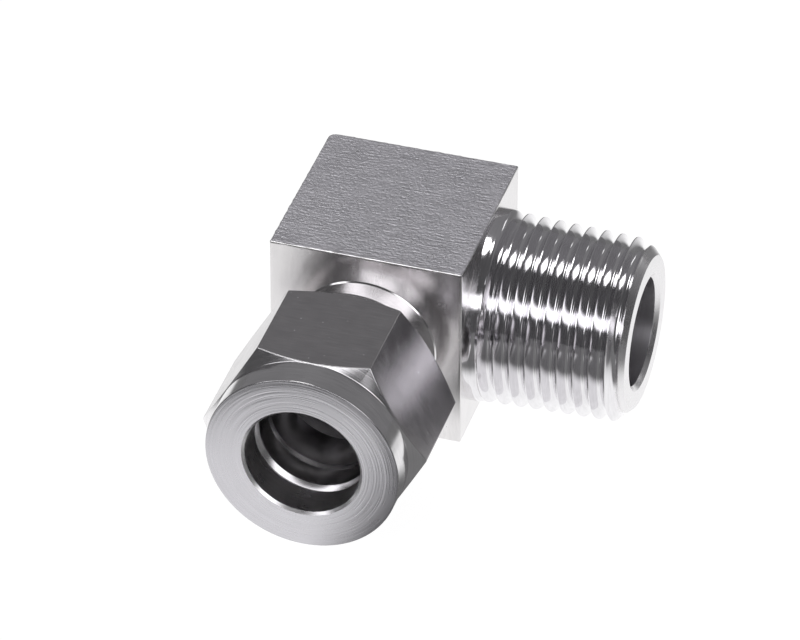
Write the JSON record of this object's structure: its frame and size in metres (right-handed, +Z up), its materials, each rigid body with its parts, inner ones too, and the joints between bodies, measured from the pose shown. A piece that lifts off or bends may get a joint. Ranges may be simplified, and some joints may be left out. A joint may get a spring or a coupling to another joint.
{
  "type": "compression elbow fitting",
  "caption": "Right-angle steel compression elbow: a tube with a nut and two ferrules on one port, and a tapered male pipe thread on the other.",
  "frame": {"origin": "centre of the block's bottom face, straight below the point where the axes of the two ports cross", "axes": "+X out along the male pipe thread, -Y out through the nut along the tube, +Z up; both port axes lie 11.5 mm above the origin"},
  "size_m": [0.042, 0.0455, 0.023],
  "materials": {
    "body_steel": "stainless steel cut from square bar: sawn and speckled on the ends, bright turned threads",
    "nut_steel": "stainless steel: drawn hexagon flats, fine turning marks on the face",
    "ferrule_steel": "smooth turned stainless steel"
  },
  "bodies": {
    "body": {"elbow_body": "body_steel"},
    "ferrules": {"front_ferrule": "ferrule_steel", "back_ferrule": "ferrule_steel"},
    "nut": {"nut": "nut_steel"}
  },
  "joints": [
    {"name": "ferrule_slide", "type": "slide", "parent": "body", "child": "ferrules", "axis": [0, -1, 0], "range_m": [0, 0.0051]},
    {"name": "nut_turn", "type": "hinge", "parent": "ferrules", "child": "nut", "pos_m": [0, -0.026, 0.0115], "axis": [0, -1, 0], "range_deg": [0, 1440]}
  ],
  "couplings": [
    {"joint": "ferrule_slide", "follows": "nut_turn", "m_per_rad": 0.00020213}
  ]
}
